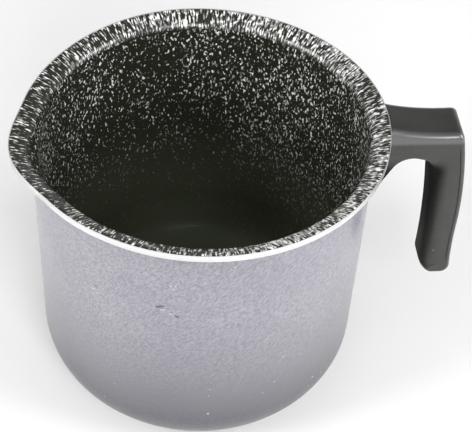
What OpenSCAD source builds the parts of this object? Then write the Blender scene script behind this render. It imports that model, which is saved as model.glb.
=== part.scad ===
// Candle melting pot: a pressed aluminium jug-shaped pot with a flared rim, a shallow pouring
// lip, a speckled non-stick lining, an enamelled outside and a one-piece moulded hook handle.
// Millimetres. Z is up, the pot stands on z = 0 on the Z axis, and the handle points along +X.
// The pouring lip is opposite the handle, on the -X side. Its tip is turned a few degrees
// towards -Y, and the middle of its dip a few degrees towards +Y.

/* [Pot] */
// Outside diameter of the straight wall
wall_d = 145; // [130:1:150]
// Diameter over the flared rim
rim_d = 156; // [152:1:164]
// Height from the base to the top of the rim
pot_h = 138; // [125:1:180]
// Thickness of the finished sheet with both coatings
sheet = 2.8; // [2.2:0.1:3.6]
// Outside radius of the corner between wall and base
corner_r = 26.5; // [18:0.5:34]
// How far the flare turns away from upright, in degrees
flare_turn = 66; // [60:1:80]
// Outside radius of the bend between wall and flare
bend_r = 2; // [1:0.5:3]

/* [Pouring lip] */
// How far the lip reaches beyond the rim
lip_out = 3.6; // [0:0.1:6]
// How far the lip dips below the rim
lip_dip = 3.6; // [0:0.1:9]
// Half of the angle over which the lip reaches out
lip_out_half = 25; // [20:1:60]
// Half of the angle over which the lip dips
lip_dip_half = 76; // [45:1:90]
// How far the lip's tip is turned from the point opposite the handle towards -Y, in degrees
lip_out_side = 11; // [0:1:15]
// How far the middle of the dip is turned from that point towards +Y, in degrees
lip_dip_side = 11; // [0:1:15]

/* [Coatings] */
// Modelled thickness of each coating
coat = 0.3; // [0.2:0.05:0.5]

/* [Base] */
// Diameter of the bare, turned face that the pot stands on
foot_d = 95; // [94:0.5:98]

/* [Handle] */
// Width of the handle, from side to side
handle_w = 20.5; // [18:0.5:26]
// Furthest reach of the handle from the pot's axis
handle_reach = 116.4; // [114:0.2:122]
// Drop from the rim to the lowest point of the handle
handle_drop = 88.9; // [80:0.1:96]
// Thickness of the grip, front to back
grip_t = 14; // [12:0.1:17]
// Drop from the rim to the underside of the arm
arch_drop = 16; // [16:0.1:20]
// Drop from the rim to the toe of the handle's root, on the wall
toe_drop = 40; // [36:0.5:50]

/* [Fastening] */
// Drop from the rim to the screw's axis
screw_drop = 10.3; // [9.8:0.1:11]
// Thread diameter of the screw
screw_d = 5; // [4:0.5:5]
// Diameter of the screw's head
head_d = 8.6; // [8:0.1:9]
// Distance from the pot's axis to the seat under the washers
seat_x = 92; // [88:0.5:96]

/* [Hidden] */
$fn = 96;
eps = 0.01;

// Pot: the section is a corner arc, a straight wall, a tight bend and a straight flare. A surface
// is named by its depth in the sheet, from 0 on the outside to sheet on the inside.
wall_r = wall_d / 2;
rim_r = rim_d / 2;
bend_cx = wall_r + bend_r;
bend_z = pot_h - (bend_r + sheet) * sin(flare_turn) - flare_len(sheet) * cos(flare_turn);
blend_z = bend_z - 12;       // where the lip starts to leave the wall
blend_share = 0.8;           // how much of the lip's way out and down is in the wall
corner_steps = 9;
blend_steps = 4;
bend_steps = 5;
ring_steps = 72;             // facets around the pot
bare_edge = 0.35;            // strip at the rim that the coatings leave bare
lining_d = sheet - coat;     // depth of the face between metal and lining
foot_r = foot_d / 2;

// Fastening
screw_z = pot_h - screw_drop;
boss_w = 14;                 // boss, across
boss_h = 10;                 // boss, up and down
boss_end_x = 81;
fit_gap = 0.2;               // clearance of the handle around the boss and the rim
tap_gap = 0.05;              // clearance of the screw in the boss and the washers
channel_r = screw_d / 2 + 0.3;
sink_r = head_d / 2 + 0.5;
washer_t = 1;
lock_t = 1.2;
head_h = 3.4;
screw_tip_x = wall_r + 1.6;

// Handle: the side view, with heights counted down from the rim
edge_r = 3;                  // rounding along the top edges of the arm
back_r = 2;                  // rounding along the outer edges of the grip
nose_r = 7;                  // rounding along the inner edges of the grip
top_drop = 3;                // from the rim to the top of the arm, at the shoulder
top_rise = 2.55;             // how much higher the arm is where it meets the rim
top_dip = 1;                 // hollow along the top of the arm
shoulder_r = 3.5;            // rounding where the arm turns down
shoulder_in = 6.5;           // how far the top of the outer face leans in
waist_drop = 54;             // from the rim to the waist of the outer face
waist_in = 1.1;              // how far the waist stands in
upper_bow = 1.2;             // swell of the outer face above the waist
lower_bow = 0.4;             // hollow of the outer face below the waist
heel_r = 4.2;                // rounding at the outer foot of the grip
tip_r = 5.8;                 // rounding at the inner foot of the grip
inner_bow = 1.05;            // hollow of the inner face
arch_r = 9;                  // rounding under the arm
arch_lean = 4.2;             // how far the inner face leans in at its top
arch_turn = 150;             // how far the rounding under the arm runs, in degrees
root_bow = 0.4;              // swell of the underside of the root
lean_a = 4;                  // lean of the grip's edges, in degrees

// Length of the flare beyond the bend, at depth d in the sheet
function flare_len(d) = (rim_r - bend_cx + (bend_r + d) * cos(flare_turn)) / sin(flare_turn);
// Angle round the corner at which the surface at depth d meets the turned foot
function foot_angle(d) = asin((foot_r - wall_r + corner_r) / (corner_r - d));

// 1 at the middle of the lip, falling smoothly to 0 at the angle half
function hump(u, half) = abs(u) >= half ? 0 : (1 + cos(180 * u / half)) / 2;
// From 0 where the lip leaves the wall, rising smoothly to 1 at the rim
function lift(t) = t * t * (3 - 2 * t);

// Stations [r, z, lift] of the surface at depth d: along the corner from angle a0, up the
// stretch of wall that the lip blends into, round the bend, and to the end of the flare or
// short of it
function corner_part(d, a0) = [for (i = [0 : corner_steps])
    let (a = a0 + (90 - a0) * i / corner_steps)
    [wall_r - corner_r + (corner_r - d) * sin(a), corner_r - (corner_r - d) * cos(a), 0]];
function blend_part(d) = [for (i = [0 : blend_steps - 1])
    let (t = i / blend_steps)
    [wall_r - d, blend_z + (bend_z - blend_z) * t, lift(blend_share * t)]];
function bend_part(d) = [for (i = [0 : bend_steps])
    let (a = flare_turn * i / bend_steps, t = i / (bend_steps + 1))
    [bend_cx - (bend_r + d) * cos(a), bend_z + (bend_r + d) * sin(a),
     lift(blend_share + (1 - blend_share) * t)]];
function flare_tip(d, short) = let (l = flare_len(d) - short)
    [bend_cx - (bend_r + d) * cos(flare_turn) + l * sin(flare_turn),
     bend_z + (bend_r + d) * sin(flare_turn) + l * cos(flare_turn), 1];
function skin(d, a0 = 0, short = 0) =
    concat(corner_part(d, a0), blend_part(d), bend_part(d), [flare_tip(d, short)]);

function reversed(list) = [for (i = [len(list) - 1 : -1 : 0]) list[i]];

// A station carried round the pot to angle a, and moved out and down by the lip
function spun(p, a) =
    let (out = lip_out * hump(a - 180 - lip_out_side, lip_out_half),
         dip = lip_dip * hump(a - 180 + lip_dip_side, lip_dip_half),
         r = p[0] + out * p[2])
    [r * cos(a), r * sin(a), p[1] - dip * p[2]];

// Solid of stations spun round the pot, from the outside over the rim to the inside. It is a
// ring, or with disc set, its first and last stations are closed by flat discs.
module spin(stations, disc) {
    count = len(stations);
    last = disc ? count - 2 : count - 1;
    points = [for (j = [0 : ring_steps - 1], p = stations) spun(p, 360 * j / ring_steps)];
    sides = [for (j = [0 : ring_steps - 1], i = [0 : last])
        let (a = j * count, b = ((j + 1) % ring_steps) * count, k = (i + 1) % count)
        each [[a + i, a + k, b + i], [a + k, b + k, b + i]]];
    floor_disc = [for (j = [0 : ring_steps - 1]) j * count];
    inner_disc = [for (j = [ring_steps - 1 : -1 : 0]) j * count + count - 1];
    polyhedron(points, concat(sides, disc ? [floor_disc, inner_disc] : []), convexity = 6);
}

// Everything inside the pot's outer surface, away from the lip
module pot_envelope() {
    rotate_extrude()
        polygon(concat([[0, 0]], [for (p = skin(0)) [p[0], p[1]]], [[rim_r, pot_h], [0, pot_h]]));
}

module boss_block(grow) {
    translate([wall_r - sheet, -boss_w / 2 - grow, screw_z - boss_h / 2 - grow])
        cube([boss_end_x - wall_r + sheet + grow, boss_w + 2 * grow, boss_h + 2 * grow]);
}

// A cylinder along +X on the screw's axis, from x0 to x1
module along_screw(x0, x1, r) {
    translate([x0, 0, screw_z])
        rotate([0, 90, 0])
            cylinder(h = x1 - x0, r = r);
}

module pot_shell() {
    color("silver")
        spin(concat([[foot_r, 0, 0]], skin(coat, foot_angle(coat)),
                    reversed(skin(lining_d))), true);
}

module nonstick_lining() {
    color("#23241c")
        spin(concat(skin(lining_d, 0, bare_edge), reversed(skin(sheet, 0, bare_edge))), true);
}

module outer_enamel() {
    color("#b4b0be")
        spin(concat(skin(0, foot_angle(0), bare_edge),
                    reversed(skin(coat, foot_angle(coat), bare_edge))), false);
}

module handle_boss() {
    color("silver")
        difference() {
            boss_block(0);
            pot_envelope();
            along_screw(wall_r + 0.8, boss_end_x + 1, screw_d / 2 + tap_gap);
        }
}

// Points of an arc, and of a line bowed sideways by sag
function arc(c, r, a0, a1, n) = [for (i = [0 : n])
    let (a = a0 + (a1 - a0) * i / n) c + r * [cos(a), sin(a)]];
function bow(p, q, sag, n) = [for (i = [1 : n - 1])
    let (t = i / n, d = (q - p) / norm(q - p))
    p + (q - p) * t + 4 * sag * t * (1 - t) * [-d[1], d[0]]];

// Side view of the handle, x outwards and y upwards from the rim
module handle_side() {
    inner_x = handle_reach - grip_t;
    rim = [rim_r + fit_gap, top_rise - top_drop];
    waist = [handle_reach - waist_in, -waist_drop];
    shoulder = arc([handle_reach - shoulder_in - shoulder_r, -top_drop - shoulder_r],
                   shoulder_r, 90, 10, 5);
    heel = arc([handle_reach - heel_r, heel_r - handle_drop], heel_r, 0, -90, 8);
    tip = arc([inner_x + tip_r, tip_r - handle_drop], tip_r, -90, -180, 10);
    arch = arc([inner_x - arch_lean - arch_r, -arch_drop - arch_r], arch_r, 0, arch_turn, 12);
    toe = [wall_r + 1.5, 3 - toe_drop];
    polygon(concat([[wall_r - sheet, rim[1]], rim], bow(rim, shoulder[0], -top_dip, 8),
                   shoulder, bow(shoulder[5], waist, upper_bow, 8), [waist],
                   bow(waist, heel[0], -lower_bow, 6), heel, tip,
                   bow(tip[10], arch[0], -inner_bow, 8), arch,
                   bow(arch[12], toe, -root_bow, 4), [toe, [wall_r - sheet, -toe_drop]]));
}

// Cross-section of the arm, seen from outside and measured down from its top: rounded along its
// two top edges
module arm_front() {
    flat_w = handle_w - 2 * edge_r;
    translate([-flat_w / 2, -edge_r])
        square([flat_w, edge_r]);
    for (side = [-1, 1])
        translate([side * flat_w / 2, -edge_r])
            circle(r = edge_r);
    translate([-handle_w / 2, -handle_drop - handle_w])
        square([handle_w, handle_drop + handle_w - edge_r]);
}

// Section of the grip, measured outwards from its inner face: well rounded towards the pot and
// nearly square at the back
module grip_above(depth) {
    nose_w = handle_w - 2 * nose_r;
    back_w = handle_w - 2 * back_r;
    translate([0, -nose_w / 2])
        square([nose_r, nose_w]);
    translate([nose_r, -handle_w / 2])
        square([depth - nose_r - back_r, handle_w]);
    translate([depth - back_r, -back_w / 2])
        square([back_r, back_w]);
    for (side = [-1, 1]) {
        translate([nose_r, side * nose_w / 2])
            circle(r = nose_r);
        translate([depth - back_r, side * back_w / 2])
            circle(r = back_r);
    }
}

// Where the arm's and the grip's edges are rounded: a prism along the arm, tilted as its top is,
// and one down the grip, leaning as the grip does
module arm_edges() {
    tilt = atan(top_rise / (handle_reach - shoulder_in - shoulder_r - rim_r));
    translate([handle_reach - shoulder_in, 0, pot_h - top_drop])
        rotate([0, tilt, 0])
            translate([-handle_reach, 0, 0])
                rotate([90, 0, 90])
                    linear_extrude(2 * handle_reach)
                        arm_front();
}

module grip_edges() {
    grip_top = pot_h - arch_drop - arch_r;
    depth = grip_t + arch_lean - shoulder_in / 2;
    union() {
        translate([handle_reach - grip_t - arch_lean, 0, grip_top])
            rotate([0, 180 - lean_a, 0])
                mirror([1, 0, 0])
                    linear_extrude(handle_drop)
                        grip_above(depth);
        translate([0, -handle_w, grip_top])
            cube([handle_reach + 2, 2 * handle_w, pot_h]);
        translate([0, -handle_w, 0])
            cube([wall_r + 15, 2 * handle_w, pot_h]);
    }
}

module handle_grip() {
    color("#33342f")
        difference() {
            intersection() {
                translate([0, handle_w / 2, pot_h])
                    rotate([90, 0, 0])
                        linear_extrude(handle_w)
                            handle_side();
                arm_edges();
                grip_edges();
            }
            pot_envelope();
            translate([0, 0, pot_h - sheet - 1])
                cylinder(h = sheet + 2, r = rim_r + fit_gap);
            boss_block(fit_gap);
            along_screw(boss_end_x - 1, seat_x + 1, channel_r);
            along_screw(seat_x, handle_reach + 2, sink_r);
        }
}

module flat_washer() {
    color("silver")
        difference() {
            along_screw(seat_x, seat_x + washer_t, sink_r - 0.3);
            along_screw(seat_x - 1, seat_x + washer_t + 1, screw_d / 2 + 2 * tap_gap);
        }
}

// Spring washer, split by a slanted cut at its top
module lock_washer() {
    x0 = seat_x + washer_t;
    cut_w = 1;
    color("dimgray")
        difference() {
            along_screw(x0, x0 + lock_t, screw_d / 2 + 1.7);
            along_screw(x0 - 1, x0 + lock_t + 1, screw_d / 2 + 2 * tap_gap);
            translate([x0 + lock_t / 2, 0, screw_z + sink_r / 2 + 1])
                rotate([0, 0, 30])
                    cube([3 * lock_t, cut_w, sink_r], center = true);
        }
}

// Pan-head machine screw with a cross recess
module handle_screw() {
    head_x = seat_x + washer_t + lock_t;
    slot_w = 1.1;
    slot_l = 4.6;
    slot_deep = 1.8;
    color("gainsboro")
        difference() {
            union() {
                along_screw(screw_tip_x, head_x + eps, screw_d / 2);
                translate([head_x, 0, screw_z])
                    rotate([0, 90, 0])
                        intersection() {
                            cylinder(h = head_h, r = head_d / 2);
                            translate([0, 0, head_h - 1.35 * head_d / 2])
                                sphere(r = 1.35 * head_d / 2);
                        }
            }
            for (turn = [0, 90])
                translate([head_x + head_h, 0, screw_z])
                    rotate([turn, 0, 0])
                        cube([2 * slot_deep, slot_w, slot_l], center = true);
        }
}

pot_shell();
nonstick_lining();
outer_enamel();
handle_boss();
handle_grip();
handle_screw();
flat_washer();
lock_washer();
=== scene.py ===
from collections import namedtuple
from math import asin, ceil, cos, hypot, pi, radians, sin, tau

import bmesh
import bpy
from mathutils import Matrix, Vector


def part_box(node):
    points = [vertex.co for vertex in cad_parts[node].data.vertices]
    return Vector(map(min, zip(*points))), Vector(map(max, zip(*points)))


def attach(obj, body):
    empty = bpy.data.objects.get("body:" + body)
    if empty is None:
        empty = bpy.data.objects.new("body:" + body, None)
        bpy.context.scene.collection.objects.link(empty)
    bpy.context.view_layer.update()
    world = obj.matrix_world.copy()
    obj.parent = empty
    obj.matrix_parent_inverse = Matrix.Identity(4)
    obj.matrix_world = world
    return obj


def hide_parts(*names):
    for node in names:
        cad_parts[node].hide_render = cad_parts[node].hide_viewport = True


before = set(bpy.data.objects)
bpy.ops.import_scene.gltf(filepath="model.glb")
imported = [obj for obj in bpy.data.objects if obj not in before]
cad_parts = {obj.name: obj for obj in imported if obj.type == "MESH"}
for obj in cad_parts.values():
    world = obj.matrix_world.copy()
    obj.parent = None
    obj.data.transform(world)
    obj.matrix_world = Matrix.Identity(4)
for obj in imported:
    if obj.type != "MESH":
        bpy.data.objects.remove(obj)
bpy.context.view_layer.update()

# A candle melting pot: a pressed aluminium pot with a speckled lining, an enamelled outside and a
# moulded handle. The object's lengths are millimetres in its own frame until a mesh is made. The
# floor and the lamps are in metres.
MM = 0.001

# Pot, as in the CAD model. A surface in the sheet is named by its depth from the outside.
WALL_R = 72.5
RIM_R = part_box("pot_shell")[1].x / MM
POT_H = 138
SHEET = 2.8
CORNER_R = 26.5
FOOT_R = 47.5
FLARE_TURN = radians(66)
BEND_R = 2
LIP_OUT = 3.6
LIP_DIP = 3.6
LIP_OUT_HALF = radians(25)
LIP_DIP_HALF = radians(76)
LIP_OUT_ANGLE = radians(191)
LIP_DIP_ANGLE = radians(169)
COAT = 0.3
BARE_EDGE = 0.35
BEND_CX = WALL_R + BEND_R

# Finer than the CAD model: over what length the coatings thin out towards the machined edge, and
# how far that edge hangs below the sheet
COAT_FADE = 0.8
EDGE_BURR = 0.6

# Handle, as in the CAD model, with drops counted from the rim
HANDLE_W = 20.5
HANDLE_REACH = 116.4
HANDLE_DROP = 88.9
GRIP_T = 14
TOP_DROP = 3
ARCH_DROP = 16
TOE_DROP = 40
SCREW_DROP = 10.3
SEAT_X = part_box("flat_washer")[0].x / MM
SINK_R = 4.8
CHANNEL_R = 2.8

RING_STEPS = 288


# ---------------------------------------------------------------- pot meshes

# A point of the pot's section: r from the axis, height z, how far it follows the lip from 0 to
# 1, and where it lies on the unrolled sheet that the speckles are scattered on
Station = namedtuple("Station", "r z lift grain_r grain_z")


def plain(r, z):
    return Station(r, z, 0, r, z)


def hump(turn, half):
    """1 at the middle of the lip, falling smoothly to 0 at the angle half."""
    return 0 if abs(turn) >= half else (1 + cos(pi * turn / half)) / 2


def smooth(t):
    return t * t * (3 - 2 * t)


def flare_len(depth):
    """Length of the flare beyond the bend."""
    return (RIM_R - BEND_CX + (BEND_R + depth) * cos(FLARE_TURN)) / sin(FLARE_TURN)


BEND_Z = POT_H - (BEND_R + SHEET) * sin(FLARE_TURN) - flare_len(SHEET) * cos(FLARE_TURN)
BLEND_Z = BEND_Z - 12


def foot_angle(depth):
    return asin((FOOT_R - WALL_R + CORNER_R) / (CORNER_R - depth))


def sheet_surface(depth, first_angle=0, short=0):
    """Stations up the sheet at a depth, from an angle round the corner to the flare's end."""
    corner_steps, wall_steps, blend_steps, bend_steps, flare_steps = 20, 8, 12, 12, 6
    blend_share = 0.8
    stations = []
    for i in range(corner_steps):
        a = first_angle + (pi / 2 - first_angle) * i / corner_steps
        stations.append(plain(WALL_R - CORNER_R + (CORNER_R - depth) * sin(a),
                              CORNER_R - (CORNER_R - depth) * cos(a)))
    for i in range(wall_steps):
        stations.append(plain(WALL_R - depth, CORNER_R + (BLEND_Z - CORNER_R) * i / wall_steps))
    for i in range(blend_steps):
        z = BLEND_Z + (BEND_Z - BLEND_Z) * i / blend_steps
        stations.append(Station(WALL_R - depth, z, smooth(blend_share * i / blend_steps),
                                WALL_R - depth, z))
    r = BEND_R + depth
    length = flare_len(depth) - short
    whole = r * FLARE_TURN + length
    for i in range(bend_steps + flare_steps):
        if i < bend_steps:
            a, along = FLARE_TURN * i / bend_steps, 0
        else:
            a, along = FLARE_TURN, length * (i + 1 - bend_steps) / flare_steps
        path = r * a + along
        stations.append(Station(BEND_CX - r * cos(a) + along * sin(FLARE_TURN),
                                BEND_Z + r * sin(a) + along * cos(FLARE_TURN),
                                smooth(blend_share + (1 - blend_share) * path / whole),
                                WALL_R - depth, BEND_Z + path))
    return stations


def spun(station, angle):
    """A station carried round the pot to an angle, and moved out and down by the lip."""
    r = station.r + LIP_OUT * hump(angle - LIP_OUT_ANGLE, LIP_OUT_HALF) * station.lift
    z = station.z - LIP_DIP * hump(angle - LIP_DIP_ANGLE, LIP_DIP_HALF) * station.lift
    return Vector((r * cos(angle), r * sin(angle), z)) * MM


def spin(name, stations, closed):
    """Mesh of stations spun round the pot. Closed joins the last station to the first one, and
    otherwise both lie on the axis."""
    bm = bmesh.new()
    grain = bm.verts.layers.float_vector.new("grain")
    rings = []
    for s in stations:
        steps = RING_STEPS if s.r > 0 else 1
        ring = []
        for j in range(steps):
            angle = tau * j / RING_STEPS
            vert = bm.verts.new(spun(s, angle))
            vert[grain] = Vector((s.grain_r * cos(angle), s.grain_r * sin(angle), s.grain_z)) * MM
            ring.append(vert)
        rings.append(ring)
    pairs = list(zip(rings, rings[1:]))
    if closed:
        pairs.append((rings[-1], rings[0]))
    for low, high in pairs:
        for j in range(RING_STEPS):
            k = (j + 1) % RING_STEPS
            corners = [low[j % len(low)], low[k % len(low)],
                       high[k % len(high)], high[j % len(high)]]
            bm.faces.new(list(dict.fromkeys(corners)))
    bmesh.ops.recalc_face_normals(bm, faces=bm.faces)
    return finished(name, bm, 35)


def finished(name, bm, sharp_angle):
    """A new object of the mesh, smooth shaded except where faces meet at a sharp angle."""
    mesh = bpy.data.meshes.new(name)
    bm.to_mesh(mesh)
    bm.free()
    piece = bpy.data.objects.new(name, mesh)
    bpy.context.scene.collection.objects.link(piece)
    smooth_shaded(mesh, sharp_angle)
    return piece


def smooth_shaded(mesh, sharp_angle):
    mesh.shade_smooth()
    mesh.set_sharp_from_angle(angle=radians(sharp_angle))


def tapered(surface, other, length):
    """The stations of a coating's face, falling to those of the face under it at the far end."""
    path = [0]
    for a, b in zip(surface[:0:-1], surface[-2::-1]):
        path.append(path[-1] + hypot(a.r - b.r, a.z - b.z))
    path.reverse()
    result = []
    for s, o, left in zip(surface, other, path):
        sink = 0 if left >= length else 1 - (1 - (1 - left / length) ** 2) ** 0.5
        result.append(s._replace(r=s.r + (o.r - s.r) * sink, z=s.z + (o.z - s.z) * sink))
    return result


def make_pot_metal():
    """The pressed sheet: foot turned in grooves round a dimple, outside, machined edge and
    inside."""
    groove_pitch, groove_depth = 1.0, 0.06
    dimple_depth, dimple_r, first_r = 0.3, 3, 5
    foot = [plain(0, dimple_depth), plain(dimple_r, dimple_depth),
            plain(dimple_r + 1, groove_depth)]
    count = ceil((FOOT_R - first_r) / groove_pitch)
    for i in range(count):
        r = first_r + (FOOT_R - first_r - 1) * i / count
        foot.append(plain(r, groove_depth))
        foot.append(plain(r + groove_pitch * 0.6, 0))
    outside = sheet_surface(COAT, foot_angle(COAT))
    inside = sheet_surface(SHEET - COAT)
    burr = outside[-1]._replace(z=outside[-1].z - EDGE_BURR)
    edge = [burr] + edge_face(burr, inside[-1])
    floor = [plain(r, SHEET - COAT) for r in (0, 15, 30)]
    stations = foot + [plain(FOOT_R, 0)] + outside + edge + inside[::-1] + floor[::-1]
    return spin("pot_metal", stations, False)


def edge_face(low, high):
    """Stations across the machined edge, slightly crowned and with fine turning marks."""
    steps, crown, mark = 12, 0.12, 0.035
    stations = []
    for i in range(1, steps):
        t = i / steps
        out = crown * 4 * t * (1 - t) - (mark if i % 2 else 0) - crown
        stations.append(low._replace(r=low.r + (high.r - low.r) * t + out,
                                     z=low.z + (high.z - low.z) * t))
    return stations


def make_lining():
    """The non-stick coating, from the middle of the floor to just short of the edge."""
    under = sheet_surface(SHEET - COAT, 0, BARE_EDGE)
    top = tapered(sheet_surface(SHEET, 0, BARE_EDGE), under, COAT_FADE)
    floor = (0, 12, 24, 36)
    stations = ([plain(r, SHEET - COAT) for r in floor] + under + top[::-1]
                + [plain(r, SHEET) for r in floor[::-1]])
    return spin("lining", stations, False)


def make_enamel():
    """The enamel, from the turned foot to just short of the edge."""
    under = sheet_surface(COAT, foot_angle(COAT), BARE_EDGE)
    top = tapered(sheet_surface(0, foot_angle(0), BARE_EDGE), under, COAT_FADE)
    return spin("enamel", under + top[::-1], True)


# ---------------------------------------------------------------- handle mesh

def arc(cx, cy, r, first, last, steps):
    """Points of an arc, between angles in degrees."""
    points = []
    for i in range(steps + 1):
        a = radians(first + (last - first) * i / steps)
        points.append((cx + r * cos(a), cy + r * sin(a)))
    return points


def bow(p, q, sag, steps):
    """Points between p and q on a line bowed sideways by sag, without its ends."""
    dx, dy = q[0] - p[0], q[1] - p[1]
    length = hypot(dx, dy)
    points = []
    for i in range(1, steps):
        t = i / steps
        side = 4 * sag * t * (1 - t) / length
        points.append((p[0] + dx * t - dy * side, p[1] + dy * t + dx * side))
    return points


def handle_outline():
    """Side view of the handle, x outwards and y up from the rim, as pairs of a point and the
    radius that rounds the edge there."""
    inner_x = HANDLE_REACH - GRIP_T
    root_x, hidden_x, rim_x = WALL_R - SHEET, WALL_R - 14, RIM_R + 0.2
    top_rise, top_dip, shoulder_r, shoulder_in = 2.55, 1, 3.5, 6.5
    waist, upper_bow, lower_bow = (HANDLE_REACH - 1.1, -54), 1.2, -0.4
    heel_r, tip_r, inner_bow = 4.2, 5.8, -1.05
    arch_r, arch_lean, arch_end, root_bow = 9, 4.2, 150, -0.4
    top_edge, back_edge, nose, under_edge, hidden_edge = 3, 2, 7, 1, 0.5

    shoulder = arc(HANDLE_REACH - shoulder_in - shoulder_r, -TOP_DROP - shoulder_r,
                   shoulder_r, 90, 10, 10)
    heel = arc(HANDLE_REACH - heel_r, heel_r - HANDLE_DROP, heel_r, 0, -90, 12)
    tip = arc(inner_x + tip_r, tip_r - HANDLE_DROP, tip_r, -90, -180, 18)
    arch = arc(inner_x - arch_lean - arch_r, -ARCH_DROP - arch_r, arch_r, 0, arch_end, 24)
    crown = len(arch) // 2
    toe = (WALL_R + 1.5, 3 - TOE_DROP)
    rim = (rim_x, top_rise - TOP_DROP)
    hidden = [(hidden_x, -TOE_DROP), (hidden_x, rim[1])]

    top = [rim] + bow(rim, shoulder[0], -top_dip, 24)
    back = (bow(shoulder[-1], waist, upper_bow, 24) + [waist]
            + bow(waist, heel[0], lower_bow, 16) + heel)
    inner = bow(tip[-1], arch[0], inner_bow, 30)
    under = arch[crown + 1:] + bow(arch[-1], toe, root_bow, 12) + [toe, (root_x, -TOE_DROP)]
    return (even(hidden, hidden_edge) + even(top, top_edge) + graded(shoulder, top_edge, back_edge)
            + even(back, back_edge) + graded(tip, back_edge, nose) + even(inner, nose)
            + graded(arch[:crown + 1], nose, under_edge) + even(under, under_edge))


def even(points, radius):
    return [(p, radius) for p in points]


def graded(points, first, last):
    """Points with a rounding radius that changes smoothly from first to last."""
    count = len(points) - 1
    return [(p, first + (last - first) * smooth(i / count)) for i, p in enumerate(points)]


def outline_normals(points):
    """Unit vectors into the outline, which runs clockwise."""
    normals = []
    for i, p in enumerate(points):
        a, b = points[i - 1], points[(i + 1) % len(points)]
        dx, dy = b[0] - a[0], b[1] - a[1]
        length = hypot(dx, dy)
        normals.append((dy / length, -dx / length))
    return normals


def parting_depth(point):
    """Depth of the fine groove down the outer part of the handle's sides."""
    drop = -point[1]
    if point[0] < HANDLE_REACH - 9:
        return 0
    return 0.3 * smooth(min(1, max(0, (drop - 7) / 6))) * smooth(min(1, max(0, (82 - drop) / 6)))


def make_grip():
    """The moulded handle: its side view swelled to full width with rounded edges, and cut for
    the wall, the rim, the boss and the screw."""
    outline = handle_outline()
    points = [p for p, _ in outline]
    inward = outline_normals(points)
    half = HANDLE_W / 2
    round_steps = 9
    bm = bmesh.new()

    def ring(side, inset, height):
        verts = []
        for i, ((x, y), r) in enumerate(outline):
            nx, ny = inward[i]
            d, h = inset(i, r), height(i, r)
            verts.append(bm.verts.new(Vector((x + nx * d, side * h, POT_H + y + ny * d)) * MM))
        return verts

    def side_rings(side):
        rings = []
        for k in range(round_steps + 1):
            a = pi / 2 * k / round_steps
            rings.append(ring(side, lambda i, r, a=a: r * (1 - cos(a)),
                              lambda i, r, a=a: half - r * (1 - sin(a))))
        for extra, share in ((0.12, 0), (0.27, 1), (0.42, 0), (0.6, 0)):
            rings.append(ring(side, lambda i, r, e=extra: r + e,
                              lambda i, r, s=share: half - s * parting_depth(points[i])))
        return rings

    left, right = side_rings(1), side_rings(-1)
    bands = list(zip(left, left[1:])) + list(zip(right, right[1:])) + [(left[0], right[0])]
    for a, b in bands:
        for i in range(len(outline)):
            k = (i + 1) % len(outline)
            bm.faces.new((a[i], a[k], b[k], b[i]))
    bm.faces.new(left[-1])
    bm.faces.new(right[-1])
    bmesh.ops.recalc_face_normals(bm, faces=bm.faces)
    piece = finished("grip", bm, 40)
    for cutter in (wall_cutter(), rim_cutter(), boss_cutter(), channel_cutter(), sink_cutter()):
        cut(piece, cutter)
    smooth_shaded(piece.data, 40)
    return piece


def cut(piece, cutter):
    """Takes the cutter's shape out of the piece and removes the cutter."""
    boolean = piece.modifiers.new("cut", "BOOLEAN")
    boolean.operation = "DIFFERENCE"
    boolean.solver = "EXACT"
    boolean.object = cutter
    bpy.context.view_layer.update()
    evaluated = piece.evaluated_get(bpy.context.evaluated_depsgraph_get())
    mesh = bpy.data.meshes.new_from_object(evaluated)
    piece.modifiers.clear()
    piece.data = mesh
    bpy.data.objects.remove(cutter)


def wall_cutter():
    """Everything inside the pot's outer surface."""
    stations = [plain(0, -1)] + sheet_surface(0)
    top = stations[-1]
    stations += [top._replace(z=POT_H + 2), plain(0, POT_H + 2)]
    return spin("wall_cutter", stations, False)


def rim_cutter():
    gap = 0.2
    return rod("rim_cutter", Vector((0, 0, POT_H - TOP_DROP - 1)), Vector((0, 0, POT_H + 4)),
               RIM_R + gap, RING_STEPS)


def channel_cutter():
    return rod("channel_cutter", on_screw(75), on_screw(SEAT_X + 1), CHANNEL_R, 48)


def sink_cutter():
    return rod("sink_cutter", on_screw(SEAT_X), on_screw(HANDLE_REACH + 3), SINK_R, 64)


def on_screw(x):
    return Vector((x, 0, POT_H - SCREW_DROP))


def boss_cutter():
    lo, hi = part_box("handle_boss")
    gap = Vector((0.2, 0.2, 0.2)) * MM
    lo = lo - gap
    hi = hi + gap
    bm = bmesh.new()
    bmesh.ops.create_cube(bm, size=1)
    for vert in bm.verts:
        vert.co = Vector([(lo[i] + hi[i]) / 2 + vert.co[i] * (hi[i] - lo[i]) for i in range(3)])
    return finished("boss_cutter", bm, 30)


def rod(name, start, end, r, steps):
    """A cylinder between two points on an axis, in millimetres."""
    bm = bmesh.new()
    axis = end - start
    bmesh.ops.create_cone(bm, cap_ends=True, segments=steps, radius1=r * MM, radius2=r * MM,
                          depth=axis.length * MM)
    place = Matrix.Translation((start + end) / 2 * MM)
    bm.transform(place @ axis.to_track_quat("Z", "Y").to_matrix().to_4x4())
    return finished(name, bm, 30)


# ---------------------------------------------------------------- materials

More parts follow.
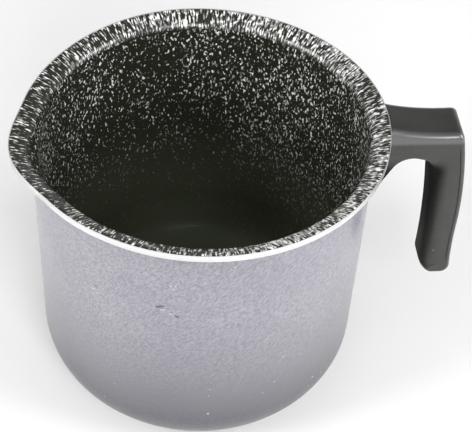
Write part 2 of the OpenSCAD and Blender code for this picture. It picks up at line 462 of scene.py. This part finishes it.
class Shader:
    """A material with a Principled shader, and short ways to add and join its nodes."""

    def __init__(self, name, **values):
        self.material = bpy.data.materials.new(name)
        self.material.use_nodes = True
        self.tree = self.material.node_tree
        self.surface = self.tree.nodes["Principled BSDF"]
        for key, value in values.items():
            self.surface.inputs[key.replace("_", " ")].default_value = value

    def add(self, kind, **settings):
        node = self.tree.nodes.new(kind)
        for key, value in settings.items():
            if key in node.bl_rna.properties:
                setattr(node, key, value)
            else:
                node.inputs[key].default_value = value
        return node

    def join(self, output, target):
        self.tree.links.new(output, target)

    def to_surface(self, output, name):
        self.join(output, self.surface.inputs[name])

    def math(self, operation, *operands, clamp=False):
        node = self.add("ShaderNodeMath", operation=operation, use_clamp=clamp)
        for socket, operand in zip(node.inputs, operands):
            if isinstance(operand, (int, float)):
                socket.default_value = operand
            else:
                self.join(operand, socket)
        return node.outputs[0]

    def scaled(self, vector, scale):
        node = self.add("ShaderNodeVectorMath", operation="MULTIPLY")
        self.join(vector, node.inputs[0])
        node.inputs[1].default_value = scale
        return node.outputs[0]

    def local(self, vector, origin, turns, sizes):
        """A vector seen from a frame at origin with these turns, in units of these sizes."""
        node = self.add("ShaderNodeMapping", vector_type="TEXTURE")
        self.join(vector, node.inputs["Vector"])
        for key, value in (("Location", origin), ("Rotation", turns), ("Scale", sizes)):
            node.inputs[key].default_value = value
        return node.outputs[0]

    def place(self):
        return self.add("ShaderNodeNewGeometry").outputs["Position"]

    def axes(self, vector):
        """The X, Y and Z of a vector."""
        node = self.add("ShaderNodeSeparateXYZ")
        self.join(vector, node.inputs[0])
        return list(node.outputs)

    def noise(self, vector, size_mm, detail=2.0, roughness=0.5, twist=0.0):
        """Noise from about 0 to 1 whose blobs are about size_mm across."""
        node = self.add("ShaderNodeTexNoise", Detail=detail, Roughness=roughness,
                        Distortion=twist, Scale=0.5 / (size_mm * MM))
        self.join(vector, node.inputs["Vector"])
        return node.outputs["Fac"]

    def cells(self, vector, size_mm, random=1.0):
        """Distance to the nearest of scattered points, in cell sizes, and that point's colour."""
        node = self.add("ShaderNodeTexVoronoi", Scale=1 / (size_mm * MM), Randomness=random)
        self.join(vector, node.inputs["Vector"])
        return node.outputs["Distance"], node.outputs["Color"]

    def ramp(self, value, low, high, start=0.0, end=1.0):
        """A value's smooth way from start to end as it goes from low to high."""
        node = self.add("ShaderNodeMapRange", interpolation_type="SMOOTHSTEP")
        self.join(value, node.inputs["Value"])
        for key, number in (("From Min", low), ("From Max", high), ("To Min", start),
                            ("To Max", end)):
            node.inputs[key].default_value = number
        return node.outputs["Result"]

    def mix(self, factor, a, b):
        """Colour between a and b, each a colour or a node's output."""
        node = self.add("ShaderNodeMix", data_type="RGBA")
        for key, value in ((0, factor), (6, a), (7, b)):
            if isinstance(value, bpy.types.NodeSocket):
                self.join(value, node.inputs[key])
            else:
                node.inputs[key].default_value = value
        return node.outputs[2]

    def bump(self, height, depth_mm, strength=1.0):
        node = self.add("ShaderNodeBump", Distance=depth_mm * MM, Strength=strength)
        self.join(height, node.inputs["Height"])
        self.to_surface(node.outputs["Normal"], "Normal")


def grey(level, tint=(1, 1, 1)):
    return (level * tint[0], level * tint[1], level * tint[2], 1)


def granite():
    """Black non-stick coating with pale speckle, dense towards the rim and sparse on the floor,
    and drawn out into streaks along the flare. Its black is painted lighter towards the floor
    as painted fill light."""
    s = Shader("granite_lining", Roughness=0.35, IOR=1.45, Specular_IOR_Level=0.3,
               Coat_Roughness=0.14)
    olive = (1, 1.12, 0.72)
    grain = s.add("ShaderNodeAttribute", attribute_name="grain").outputs["Vector"]
    x, _, height = s.axes(grain)
    patch = s.ramp(s.noise(grain, 12, 2), 0.3, 0.7, -0.03, 0.03)
    patch = s.math("ADD", patch, s.ramp(x, -60 * MM, 60 * MM, -0.02, 0.0))

    on_flare = s.ramp(height, (BEND_Z + 0.5) * MM, (BEND_Z + 3) * MM)
    speckle = s.add("ShaderNodeMix", data_type="FLOAT")
    for socket, output in zip(speckle.inputs[0:1] + speckle.inputs[2:4],
                              (on_flare, wall_dots(s, grain, patch), flare_streaks(s, grain, patch))):
        s.join(output, socket)
    strong = s.ramp(s.noise(grain, 0.9, 1), 0.35, 0.65, 0.2, 1)
    amount = s.math("MULTIPLY", speckle.outputs[0], strong)
    # Painted fill light: the black is painted lighter towards the floor, where the inside gets little
    # light.
    lining_black_with_painted_fill = s.mix(s.ramp(height, 0, 85 * MM), grey(0.12, olive), grey(0.016, olive))
    s.to_surface(s.mix(amount, lining_black_with_painted_fill, grey(0.88, (1, 1, 0.98))), "Base Color")

    coat = s.ramp(height, 20 * MM, 90 * MM, 0.1, 0.6)
    flare_loss = s.ramp(height, (BEND_Z + 4) * MM, (BEND_Z + 7) * MM, 0, 0.4)
    s.to_surface(s.math("SUBTRACT", coat, flare_loss), "Coat Weight")
    s.bump(s.math("ADD", amount, s.noise(grain, 0.5, 2)), 0.03, 0.4)
    return s.material


def wall_dots(s, grain, patch):
    """Speckle of the wall and floor, sparser lower down, though less sparse there on the handle's
    side, and fainter lower down as painted shade."""
    x, _, height = s.axes(grain)
    dots = s.math("ADD", s.noise(s.scaled(grain, (1, 1, 0.5)), 0.45, 1, 0.5), patch)
    dots = s.math("ADD", dots, s.ramp(height, 10 * MM, 120 * MM, -0.05, 0.03))
    low_right = s.math("MULTIPLY", s.ramp(x, 0, 65 * MM),
                       s.ramp(height, 110 * MM, 40 * MM, 0, 0.06))
    # The last factor is painted shade: it fades the speckle towards the floor.
    return s.math("MULTIPLY", s.ramp(s.math("ADD", dots, low_right), 0.61, 0.66),
                  s.ramp(height, 15 * MM, (BEND_Z - 5) * MM, 0.12, 1))


def flare_streaks(s, grain, patch):
    """Speckle of the flare, drawn out along it and denser at the sides and by the handle."""
    x, y, _ = s.axes(grain)
    streaks = s.math("ADD", s.noise(s.scaled(grain, (1, 1, 0.22)), 0.36, 1, 0.5), patch)
    streaks = s.math("ADD", streaks, s.ramp(x, -70 * MM, 70 * MM, -0.04, 0.02))
    from_side = s.math("ABSOLUTE", y)
    streaks = s.math("ADD", streaks, s.ramp(from_side, 0, 60 * MM, 0, 0.05))
    return s.ramp(streaks, 0.52, 0.6, 0.0, 1)


# Nicks in the enamel: degrees round from +X, height, length, width and tilt in degrees
DARK_NICKS = ((-107, 100, 4.2, 1.2, 24), (-101.5, 95.5, 2, 1, -25), (-130, 98, 1.4, 0.7, 0),
              (-44, 79, 1, 0.6, 30), (52, 60, 3, 0.8, 20), (150, 84, 2, 0.8, -15))
PALE_NICKS = ((-106, 98.3, 3, 0.5, 16), (-103.5, 113, 0.8, 0.7, 0), (-102, 113.5, 0.9, 0.5, 0),
              (-102.6, 111.5, 0.7, 0.5, 0), (-103.5, 96.5, 1.4, 0.6, -30), (-131, 95.5, 3.5, 0.5, 8),
              (-129.5, 94, 1.1, 0.7, 0), (-127, 98.5, 1, 0.5, 0), (-145, 90, 3, 0.4, -25),
              (-84, 125, 0.9, 0.7, 40), (-38, 68, 5.5, 0.3, 18), (-35, 88, 0.8, 0.7, 0),
              (-36, 78, 0.8, 0.7, 0), (-90, 31, 1.1, 0.9, 0), (-48, 30, 1.5, 0.8, 30),
              (-50, 26, 1, 0.7, 0), (-64, 60, 1.2, 0.6, 40), (20, 45, 1.6, 0.7, 0),
              (75, 104, 2.4, 0.6, -20), (118, 40, 1.2, 0.9, 0), (165, 55, 3.5, 0.35, 30))


def enamel():
    """Violet-grey enamel with a fine crepe grain and small nicks, and painted shade darkening
    it towards the base.
    """
    s = Shader("grey_enamel", Roughness=0.3, IOR=1.5, Coat_Roughness=0.12)
    place = s.place()
    height = s.axes(place)[2]
    crepe_lean, crepe_stretch = radians(-50), 2.2
    along = s.local(place, (0, 0, 0), (0, crepe_lean, 0), (crepe_stretch, 1, 1))
    crepe = s.noise(along, 0.42, 0, 0.5, 0.8)
    cloud = s.noise(place, 16, 3, 0.55)
    tone = s.mix(s.ramp(cloud, 0.3, 0.7), grey(0.285, (1.0, 0.965, 1.12)),
                 grey(0.31, (1.0, 0.97, 1.1)))
    # Painted shade: the colour turns nearly black towards the base, where the wall curves under and
    # gets little light.
    tone = s.mix(s.ramp(height, 100 * MM, 0, 0, 0.92), tone, grey(0.035, (1, 0.99, 1.05)))
    tone = s.mix(s.ramp(crepe, 0.2, 0.8, 0.6, 0), tone, grey(0.13, (1, 0.96, 1.12)))
    s.to_surface(enamel_marks(s, place, tone), "Base Color")
    for name, low, high in (("Coat Weight", 0.05, 0.3), ("Specular IOR Level", 0.2, 0.5)):
        s.to_surface(s.ramp(height, 5 * MM, 55 * MM, low, high), name)
    s.bump(crepe, 0.15, 0.8)
    return s.material


def enamel_marks(s, place, tone):
    """The enamel's colour with grains of dust and the nicks added."""
    distance, pick = s.cells(place, 8)
    dust = s.math("MULTIPLY", s.ramp(distance, 0.05, 0.03), s.ramp(pick, 0.55, 0.6))
    tone = s.mix(dust, tone, grey(0.48))
    rough = s.math("MULTIPLY", s.noise(place, 0.6, 2), 1.2)
    for level, places in ((0.07, DARK_NICKS), (0.46, PALE_NICKS)):
        for nick in places:
            tone = s.mix(enamel_nick(s, place, rough, *nick), tone, grey(level))
    return tone


def enamel_nick(s, place, rough, around, height, long, wide, tilt):
    """1 on a ragged spot of the wall, and 0 elsewhere."""
    a = radians(around)
    centre = Vector((WALL_R * cos(a), WALL_R * sin(a), height)) * MM
    sizes = (4 * MM, long / 2 * MM, wide / 2 * MM)
    reach = s.add("ShaderNodeVectorMath", operation="LENGTH")
    s.join(s.local(place, centre, (radians(tilt), 0, a), sizes), reach.inputs[0])
    return s.ramp(s.math("ADD", reach.outputs["Value"], rough), 1.75, 1.45)


def aluminium(name, level, roughness):
    """Bare aluminium with fine turning marks round the pot's axis."""
    s = Shader(name, Metallic=1.0, Roughness=roughness)
    place = s.place()
    x, y, height = s.axes(place)
    reach = s.math("SQRT", s.math("ADD", s.math("POWER", x, 2), s.math("POWER", y, 2)))
    rings = s.add("ShaderNodeCombineXYZ")
    s.join(reach, rings.inputs[0])
    s.join(height, rings.inputs[2])
    turned = s.noise(rings.outputs[0], 0.25, 3, 0.6)
    stain = s.noise(place, 8, 3, 0.6)
    tone = s.mix(s.ramp(turned, 0.35, 0.65), grey(level * 0.75), grey(level, (1, 1, 1.01)))
    s.to_surface(s.mix(s.ramp(stain, 0.45, 0.75, 0, 0.25), tone, grey(level * 0.7)),
                 "Base Color")
    s.to_surface(s.ramp(stain, 0.3, 0.7, roughness, roughness + 0.12), "Roughness")
    s.bump(turned, 0.03, 0.5)
    return s.material


def bakelite():
    """Black moulding: satin with a faint mottle and pale specks, glossier along the arm's top
    edges, where a paler colour is a painted highlight, and dull where fingers hold it."""
    s = Shader("black_bakelite", IOR=1.5, Coat_Roughness=0.25)
    place = s.place()
    x, y, height = s.axes(place)
    mottle = s.noise(place, 5, 4, 0.6)
    fine = s.noise(place, 0.5, 3, 0.7)
    held = s.math("MULTIPLY", s.ramp(x, 107 * MM, 101 * MM), s.ramp(height, 122 * MM, 114 * MM))
    tone = s.mix(s.ramp(mottle, 0.3, 0.7), grey(0.013, (1, 1.03, 0.85)),
                 grey(0.021, (1, 1.02, 0.88)))
    tone = s.mix(s.ramp(fine, 0.55, 0.7, 0, 0.5), tone, grey(0.045, (1, 1.02, 0.88)))
    # Along the arm's top edges the extra gloss is real, and the paler colour there is a painted
    # highlight.
    polish_and_painted_highlight = s.math("MULTIPLY", s.ramp(s.math("ABSOLUTE", y), 7 * MM, 8.5 * MM),
                      s.ramp(height, (POT_H - 8.5) * MM, (POT_H - 6.5) * MM))
    tone = s.mix(polish_and_painted_highlight, tone, grey(0.04, (1, 1, 1.05)))
    distance, colour = s.cells(place, 9)
    pick = s.add("ShaderNodeSeparateColor")
    s.join(colour, pick.inputs[0])
    speck = s.math("MULTIPLY", s.ramp(distance, 0.05, 0.03), s.ramp(pick.outputs[0], 0.7, 0.75))
    s.to_surface(s.mix(speck, tone, grey(0.25)), "Base Color")
    s.to_surface(s.math("ADD", s.ramp(mottle, 0.3, 0.7, 0.32, 0.44),
                        s.math("MULTIPLY", held, 0.3)), "Roughness")
    gloss = s.math("SUBTRACT", polish_and_painted_highlight, held)
    s.to_surface(s.math("MULTIPLY_ADD", gloss, 0.38, 0.4), "Specular IOR Level")
    s.to_surface(s.math("MULTIPLY_ADD", gloss, 0.5, 0.5), "Coat Weight")
    s.bump(fine, 0.06, 0.6)
    return s.material


def steel(name, level, roughness, tint):
    """Plated steel, slightly cloudy."""
    s = Shader(name, Metallic=1.0, Roughness=roughness)
    cloud = s.noise(s.place(), 1.5, 4, 0.65)
    s.to_surface(s.mix(s.ramp(cloud, 0.3, 0.7), grey(level * 0.8, tint), grey(level, tint)),
                 "Base Color")
    s.to_surface(s.ramp(cloud, 0.3, 0.7, roughness + 0.1, roughness), "Roughness")
    s.bump(s.noise(s.place(), 0.3, 2), 0.01, 0.4)
    return s.material


# ---------------------------------------------------------------- pieces

def dress(piece, material):
    piece.data.materials.clear()
    piece.data.materials.append(material)


def add_piece(piece, material, node):
    dress(piece, material)
    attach(piece, "root")
    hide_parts(node)


def finish_node(name, material):
    """A CAD node keeps its shape and takes a procedural material."""
    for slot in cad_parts[name].material_slots:
        slot.material = material


add_piece(make_pot_metal(), aluminium("turned_aluminium", 0.9, 0.3),
          "pot_shell")
add_piece(make_lining(), granite(), "nonstick_lining")
add_piece(make_enamel(), enamel(), "outer_enamel")
add_piece(make_grip(), bakelite(), "handle_grip")
finish_node("handle_boss", aluminium("cast_aluminium", 0.7, 0.5))
zinc = steel("zinc_plate", 0.62, 0.3, (1, 1.01, 1.04))
finish_node("handle_screw", zinc)
finish_node("flat_washer", zinc)
finish_node("lock_washer", steel("dark_spring_steel", 0.3, 0.35, (1, 1, 1.03)))


# ---------------------------------------------------------------- floor, light and camera

def make_floor():
    """A pale round floor that turns up into a low pale wall, far out and all round."""
    flat_r, turn_r, wall_h = 1.3, 0.5, 0.7
    turn_steps, steps = 12, 96
    section = [(0, 0), (0.4, 0), (flat_r, 0)]
    for i in range(1, turn_steps + 1):
        a = pi / 2 * i / turn_steps
        section.append((flat_r + turn_r * sin(a), turn_r * (1 - cos(a))))
    section.append((flat_r + turn_r, wall_h))
    bm = bmesh.new()
    rings = []
    for r, z in section:
        count = steps if r > 0 else 1
        rings.append([bm.verts.new((r * cos(tau * j / steps), r * sin(tau * j / steps), z))
                      for j in range(count)])
    for low, high in zip(rings, rings[1:]):
        for j in range(steps):
            k = (j + 1) % steps
            corners = [low[j % len(low)], high[j], high[k], low[k % len(low)]]
            bm.faces.new(list(dict.fromkeys(corners)))
    bmesh.ops.recalc_face_normals(bm, faces=bm.faces)
    floor = finished("floor", bm, 60)
    s = Shader("pale_floor", Roughness=0.9, Specular_IOR_Level=0.1)
    cloud = s.noise(s.place(), 60, 3)
    s.to_surface(s.mix(s.ramp(cloud, 0.3, 0.7), grey(0.88), grey(0.91)), "Base Color")
    dress(floor, s.material)


def area_light(name, azimuth, elevation, distance, size, power):
    """A square lamp aimed at the pot. Azimuth is counted from +X, in degrees."""
    a, e = radians(azimuth), radians(elevation)
    towards = Vector((cos(a) * cos(e), sin(a) * cos(e), sin(e)))
    lamp = bpy.data.lights.new(name, "AREA")
    lamp.energy = power
    lamp.size = size
    holder = bpy.data.objects.new(name, lamp)
    holder.location = towards * distance + Vector((0, 0, POT_H / 2 * MM))
    holder.rotation_euler = towards.to_track_quat("Z", "Y").to_euler()
    bpy.context.scene.collection.objects.link(holder)


def make_light():
    world = bpy.data.worlds.new("studio")
    bpy.context.scene.world = world
    world.use_nodes = True
    sky = world.node_tree.nodes["Background"]
    sky.inputs["Color"].default_value = (1, 1, 1, 1)
    sky.inputs["Strength"].default_value = 0.4
    area_light("front", -78, 34, 1.3, 0.5, 8)
    area_light("left", -165, 30, 1.3, 0.6, 11)
    area_light("right", -20, 30, 1.3, 0.6, 10)
    bpy.context.scene.view_settings.view_transform = "Standard"


def make_camera():
    """The camera stands this far from the pot's axis and this high, and looks just past it."""
    reach, height = 391.5, 475.2
    azimuth, aside, down, roll = radians(-95), 0.04, 0.788, 0.067
    camera = bpy.data.cameras.new("camera")
    camera.lens = 94.34
    camera.sensor_width = 36
    camera.clip_start = 0.05
    holder = bpy.data.objects.new("camera", camera)
    heading = azimuth + pi / 2 - aside
    holder.matrix_world = (
        Matrix.Translation(Vector((reach * cos(azimuth), reach * sin(azimuth), height)) * MM)
        @ Matrix.Rotation(heading, 4, "Z") @ Matrix.Rotation(pi / 2 - down, 4, "X")
        @ Matrix.Rotation(roll, 4, "Z"))
    bpy.context.scene.collection.objects.link(holder)
    bpy.context.scene.camera = holder


make_floor()
make_light()
make_camera()

bpy.context.view_layer.update()
